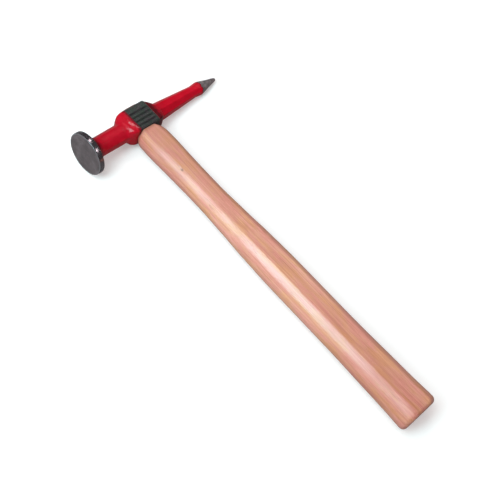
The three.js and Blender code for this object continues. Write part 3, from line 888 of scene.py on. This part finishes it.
def make_wood(name, light, mid, dark, lacquer, ring_spacing=2.3, pith=(34.0, -58.0), end_dark=0.5):
    k = Mat(name)
    hc = k.vec("hc")
    slow = k.noise(k.stretch(hc, 0.008, 0.045, 0.045), 1.0, 2, 0.5)
    sway = k.math("MULTIPLY", k.math("SUBTRACT", slow, 0.5), 9.0)
    x, y, z = k.xyz(hc)
    dy = k.math("ADD", k.math("SUBTRACT", y, pith[0]), sway)
    dz = k.math("SUBTRACT", z, pith[1])
    r = k.math("SQRT", k.math("ADD", k.math("MULTIPLY", dy, dy), k.math("MULTIPLY", dz, dz)))
    jitter = k.noise(k.stretch(hc, 0.02, 0.5, 0.5), 1.0, 2, 0.5)
    turns = k.math("ADD", k.math("DIVIDE", r, ring_spacing), k.math("MULTIPLY", jitter, 0.7))
    part = k.math("FRACT", turns)
    year = k.noise(k.join(k.math("FLOOR", turns), 0.0, 0.0), 1.7, 0, 0.5)
    late = k.math("MULTIPLY", k.smooth(part, 0.25, 0.93), k.smooth(part, 0.93, 1.0, 1.0, 0.0))
    fibre = k.noise(k.stretch(hc, 0.022, 2.6, 2.6), 1.0, 4, 0.62)
    streak = k.noise(k.stretch(hc, 0.009, 0.75, 0.75), 1.0, 3, 0.6)
    blotch = k.noise(k.stretch(hc, 0.012, 0.09, 0.09), 1.0, 3, 0.55)
    early = k.smooth(part, 0.0, 0.3, 1.0, 0.0)
    pore = k.smooth(k.noise(k.stretch(hc, 0.14, 4.6, 4.6), 1.0, 1, 0.5), 0.61, 0.67)
    pore = k.math("MULTIPLY", pore, k.line(early, 0, 1, 0.3, 1.0))
    tone = k.math("ADD", k.math("MULTIPLY", fibre, 0.42), k.math("MULTIPLY", streak, 0.3))
    tone = k.math("ADD", tone, k.math("MULTIPLY", blotch, 0.28))
    tone = k.math("SUBTRACT", tone, k.math("MULTIPLY", late, k.line(year, 0.3, 0.7, 0.015, 0.045)))
    base = k.ramp(tone, (0.34, dark), (0.47, mid), (0.6, light))
    # the wood is darker towards the head and towards the butt
    darker_to_ends = k.math("ADD", k.smooth(x, 125.0, 20.0), k.smooth(x, 190.0, 300.0), clamp=True)
    base = k.colour(k.math("MULTIPLY", darker_to_ends, 0.85 if lacquer else 0.0), base, k.colour(1.0, base, (0.85, 0.76, 0.75, 1), "MULTIPLY"))
    warm = k.noise(k.stretch(hc, 0.034, 0.16, 0.16), 1.3, 3, 0.55)
    base = k.colour(k.smooth(warm, 0.47, 0.6, 0.0, 0.85), base, k.colour(1.0, base, (1.02, 0.91, 1.04, 1), "MULTIPLY"))
    base = k.colour(k.smooth(warm, 0.5, 0.37, 0.0, 0.9), base, k.colour(1.0, base, (1.0, 1.02, 0.8, 1), "MULTIPLY"))
    base = k.colour(k.math("MULTIPLY", pore, 0.55), base, k.colour(1.0, dark, (0.62, 0.5, 0.42, 1), "MULTIPLY"))
    # end grain drinks the lacquer and goes darker, at the butt and at the tenon's end, and at the butt this darkening
    # is
    # also painted shade on the end face: it shows the growth rings as arcs, the pores as dots along their early wood,
    # and the rays across them
    end = k.math("ADD", k.smooth(x, BUTT_X - 0.7, BUTT_X - 0.06), k.smooth(x, TENON_TOP + 0.06, TENON_TOP + 0.25, 1.0, 0.0), clamp=True)
    flat = k.join(0.0, y, z)
    bearing = k.math("ARCTAN2", dz, dy)
    ray = k.noise(k.join(0.0, k.math("MULTIPLY", bearing, 95.0), k.math("MULTIPLY", r, 0.25)), 1.0, 2, 0.5)
    dots = k.smooth(k.cells(flat, 1.9), 0.2, 0.3, 1.0, 0.0)
    small = k.smooth(k.cells(flat, 3.6), 0.16, 0.26, 1.0, 0.0)
    dots = k.math("ADD", k.math("MULTIPLY", dots, k.smooth(part, 0.42, 0.18)), k.math("MULTIPLY", small, 0.35), clamp=True)
    rings_ = k.math("ADD", k.math("MULTIPLY", late, 0.95), k.smooth(ray, 0.5, 0.62, 0.0, -0.3), clamp=True)
    cut = k.colour(1.0, base, (end_dark, end_dark * 0.88, end_dark * 0.78, 1), "MULTIPLY")
    cut = k.colour(rings_, cut, k.colour(1.0, cut, (0.6, 0.52, 0.45, 1), "MULTIPLY"))
    cut = k.colour(k.math("MULTIPLY", dots, 0.85), cut, k.colour(1.0, cut, (0.3, 0.25, 0.2, 1), "MULTIPLY"))
    base = k.colour(k.math("MULTIPLY", end, 0.9), base, cut)
    if lacquer:
        # the dent holds dirt
        nick = k.vmath("DISTANCE", k.stretch(hc, 0.7, 1, 1), (NICK[0] * 0.7, NICK[1], NICK[2]))
        nick = k.smooth(k.math("ADD", nick, k.line(fibre, 0.3, 0.7, -0.25, 0.25)), 0.55, 1.3, 1.0, 0.0)
        base = k.colour(k.math("MULTIPLY", nick, 0.75), base, lin(132, 74, 56))
        # painted shade darkens the wood where it meets the head
        joint_shade = k.math("MULTIPLY", k.smooth(x, 11.3, 15.0, 1.0, 0.0), 0.45)
        base = k.colour(joint_shade, base, lin(128, 78, 60))
    k.put(k.bsdf, "Base Color", base)
    k.put(k.bsdf, "Roughness", k.line(fibre, 0.3, 0.7, 0.36, 0.52) if lacquer else k.line(fibre, 0.3, 0.7, 0.6, 0.8))
    if lacquer:
        k.put(k.bsdf, "Coat Weight", k.number(end, k.line(streak, 0.3, 0.7, 0.75, 0.5), 0.2))
        k.put(k.bsdf, "Coat Roughness", 0.23)
        k.put(k.bsdf, "Coat IOR", 1.7)
    height = k.math("ADD", k.math("MULTIPLY", fibre, 0.05 if lacquer else 0.09), k.math("MULTIPLY", pore, -0.03))
    height = k.math("ADD", height, k.math("MULTIPLY", late, 0.012))
    height = k.math("ADD", height, k.math("MULTIPLY", blotch, 0.12))
    # strokes of the sander
    sanded = k.noise(k.stretch(hc, 0.03, 0.4, 0.4), 1.0, 2, 0.5)
    height = k.math("ADD", height, k.math("MULTIPLY", sanded, 0.07))
    height = k.math("SUBTRACT", height, k.math("MULTIPLY", k.math("MULTIPLY", dots, end), 0.06))
    k.put(k.bsdf, "Normal", k.bump(height, 1.0))
    return k.m


def make_rolled_steel():
    k = Mat("rolled_steel")
    hc = k.vec("hc")
    scale_ = k.noise(hc, 0.9, 4, 0.6)
    roll = k.noise(k.stretch(hc, 1.2, 7.0, 1.6), 1.0, 3, 0.6)
    base = k.ramp(scale_, (0.3, lin(118, 117, 117)), (0.55, lin(150, 148, 146)), (0.8, lin(172, 169, 165)))
    rust_and_edge_highlight = k.smooth(k.noise(hc, 0.7, 3, 0.6), 0.58, 0.72)
    base = k.colour(k.math("MULTIPLY", rust_and_edge_highlight, 0.5), base, lin(112, 72, 48))
    k.put(k.bsdf, "Base Color", base)
    k.put(k.bsdf, "Metallic", k.line(rust_and_edge_highlight, 0, 1, 0.6, 0.3))
    k.put(k.bsdf, "Roughness", k.line(roll, 0.3, 0.7, 0.34, 0.55))
    k.put(k.bsdf, "Normal", k.bump(k.math("ADD", k.math("MULTIPLY", roll, 0.02), k.math("MULTIPLY", scale_, 0.03)), 1.0))
    return k.m


head_mat = make_head_material()
wood_mat = make_wood("hickory_satin", lin(234, 167, 143), lin(219, 145, 120), lin(198, 118, 94), True)
wedge_mat = make_wood(
    "wedge_hardwood", lin(206, 158, 110), lin(184, 132, 86), lin(150, 100, 60), False, 1.4, (-20.0, 30.0), 0.85
)
plate_mat = make_rolled_steel()

head_ob = place("forged_head", head_mesh, head_mat, "head_enamel", "head")
handle_ob = place("hickory_handle", handle_mesh, wood_mat, "handle_wood", "handle")
kerf_ob = place("kerf_wedge_wood", kerf_mesh, wedge_mat, "wedge_wood", "kerf_wedge")
steel_ob = place("steel_wedge_plate", steel_mesh, plate_mat, "wedge_steel", "steel_wedge")

# ---- floor ----------------------------------------------------------------------------------------------------------
def make_floor():
    n, half = 24, 4.0
    g = np.linspace(-1, 1, n + 1)
    g = np.sign(g) * np.abs(g) ** 2 * half
    verts = [(x, y, 0.0) for y in g for x in g]
    faces = [
        (j * (n + 1) + i, j * (n + 1) + i + 1, (j + 1) * (n + 1) + i + 1, (j + 1) * (n + 1) + i)
        for j in range(n)
        for i in range(n)
    ]
    me = mesh_from("floor", verts, faces)
    k = Mat("pale_floor")
    c = k.add("ShaderNodeTexCoord").outputs["Object"]
    soft = k.noise(c, 3.0, 3, 0.5)
    grain = k.noise(c, 900.0, 2, 0.5)
    tone = k.math("ADD", k.math("MULTIPLY", soft, 0.6), k.math("MULTIPLY", grain, 0.4))
    pale = k.ramp(tone, (0.3, (0.765, 0.7, 0.685, 1)), (0.7, (0.795, 0.73, 0.715, 1)))
    # black cards keep the table's own light off the object, from below and in its gloss
    path = k.add("ShaderNodeLightPath").outputs
    mirrored = path["Is Glossy Ray"]
    unseen = k.math("ADD", k.math("MULTIPLY", mirrored, 0.85), k.math("MULTIPLY", path["Is Diffuse Ray"], 0.42), clamp=True)
    k.put(k.bsdf, "Base Color", k.colour(unseen, pale, (0.02, 0.02, 0.02, 1)))
    # a faintly lit table, which keeps the shadows pale
    k.put(k.bsdf, "Emission Color", (1, 1, 1, 1))
    k.put(k.bsdf, "Emission Strength", k.line(unseen, 0, 0.6, 0.3, 0.04))
    k.put(k.bsdf, "Roughness", k.line(grain, 0.3, 0.7, 0.7, 0.85))
    k.put(k.bsdf, "Specular IOR Level", 0.2)
    me.materials.append(k.m)
    ob = obj_from("floor", me)
    return ob


floor = make_floor()


# ---- light ----------------------------------------------------------------------------------------------------------
def softbox(name, at, direction, distance, size_x, size_y, power, colour=(1, 1, 1), level=False):
    """An area light that stands off from a point of the hammer in this direction, and faces it. A level one keeps its
    width parallel to the handle."""
    data = bpy.data.lights.new(name, "AREA")
    data.shape = "RECTANGLE"
    data.size, data.size_y = size_x, size_y
    data.energy = power
    data.color = colour
    ob = bpy.data.objects.new(name, data)
    bpy.context.scene.collection.objects.link(ob)
    d = Vector(direction).normalized()
    ob.location = row(at) + d * distance
    ob.rotation_mode = "QUATERNION"
    ob.rotation_quaternion = d.to_track_quat("Z", "Y")
    if level:
        z = (d - ex * d.dot(ex)).normalized()
        ob.rotation_quaternion = Matrix((ex, z.cross(ex), z)).transposed().to_quaternion()
    return ob


softbox("key", (142, 0, 0), (-0.2, -0.57, 0.80), 1.1, 0.43, 1.15, 10.4, (0.55, 0.93, 1.0), level=True)
top_light = softbox("top", (60, 0, 0), (-0.2, -0.38, 0.92), 1.9, 1.5, 1.5, 11.5, (1.09, 1.0, 0.98))
top_light.visible_glossy = False
softbox("back_left", (0, -52, 10), (-0.324, 0.44, 0.827), 1.1, 0.17, 0.17, 0.9)
softbox("back_right", (0, -52, 10), (0.556, 0.44, 0.694), 1.1, 0.13, 0.13, 0.8)

world = bpy.data.worlds.new("studio")
bpy.context.scene.world = world
world.use_nodes = True
wt = world.node_tree
wt.nodes.clear()
w_out = wt.nodes.new("ShaderNodeOutputWorld")
w_where = wt.nodes.new("ShaderNodeTexCoord")
w_split = wt.nodes.new("ShaderNodeVectorMath")
w_fall = wt.nodes.new("ShaderNodeMapRange")
w_mix = wt.nodes.new("ShaderNodeMixShader")
w_path = wt.nodes.new("ShaderNodeLightPath")
w_dim = wt.nodes.new("ShaderNodeBackground")
w_seen = wt.nodes.new("ShaderNodeBackground")
w_dim.inputs[0].default_value = (1, 1, 1, 1)
# the room is darker on the sides of the pick and the butt
w_split.operation = "DOT_PRODUCT"
w_split.inputs[1].default_value = (0.55, 0.83, 0.0)
wt.links.new(w_where.outputs["Generated"], w_split.inputs[0])
wt.links.new(w_split.outputs["Value"], w_fall.inputs["Value"])
w_fall.inputs["From Min"].default_value = -0.9
w_fall.inputs["From Max"].default_value = 0.9
w_fall.inputs["To Min"].default_value = 0.72
w_fall.inputs["To Max"].default_value = 0.12
wt.links.new(w_fall.outputs[0], w_dim.inputs[1])
w_seen.inputs[0].default_value = (1, 1, 1, 1)
w_seen.inputs[1].default_value = 1.0
# the room fills the shadows, but polished steel and enamel mirror only the lamps and the floor
w_dark = wt.nodes.new("ShaderNodeBackground")
w_gloss = wt.nodes.new("ShaderNodeMixShader")
w_dark.inputs[0].default_value = (1, 1, 1, 1)
w_dark.inputs[1].default_value = 0.07
wt.links.new(w_path.outputs["Is Glossy Ray"], w_gloss.inputs[0])
wt.links.new(w_dim.outputs[0], w_gloss.inputs[1])
wt.links.new(w_dark.outputs[0], w_gloss.inputs[2])
wt.links.new(w_path.outputs["Is Camera Ray"], w_mix.inputs[0])
wt.links.new(w_gloss.outputs[0], w_mix.inputs[1])
wt.links.new(w_seen.outputs[0], w_mix.inputs[2])
wt.links.new(w_mix.outputs[0], w_out.inputs[0])

scene = bpy.context.scene
scene.view_settings.view_transform = "Standard"
scene.view_settings.look = "None"
scene.view_settings.exposure = 0.0
scene.view_settings.gamma = 1.0

# ---- camera ---------------------------------------------------------------------------------------------------------
AZIMUTH, ELEVATION, ROLL = math.radians(28.370), math.radians(61.425), math.radians(20.902)
TARGET = Vector((-0.01056, -0.01917, 0.010))
DISTANCE = 0.760
FOCAL = 980.39 / 500 * 36

cam_data = bpy.data.cameras.new("camera")
cam = bpy.data.objects.new("camera", cam_data)
bpy.context.scene.collection.objects.link(cam)
cam_data.sensor_width = 36
cam_data.lens = FOCAL
cam_data.clip_start, cam_data.clip_end = 0.01, 50
back = Vector(
    (math.sin(AZIMUTH) * math.cos(ELEVATION), -math.cos(AZIMUTH) * math.cos(ELEVATION), math.sin(ELEVATION))
)
right = Vector((0, 0, 1)).cross(back).normalized()
up = back.cross(right)
right, up = (
    right * math.cos(ROLL) + up * math.sin(ROLL),
    up * math.cos(ROLL) - right * math.sin(ROLL),
)
turn = Matrix((right, up, back)).transposed()
cam.matrix_world = Matrix.Translation(TARGET + back * DISTANCE) @ turn.to_4x4()
scene.camera = cam

# ---- finish ---------------------------------------------------------------------------------------------------------
bpy.context.view_layer.update()
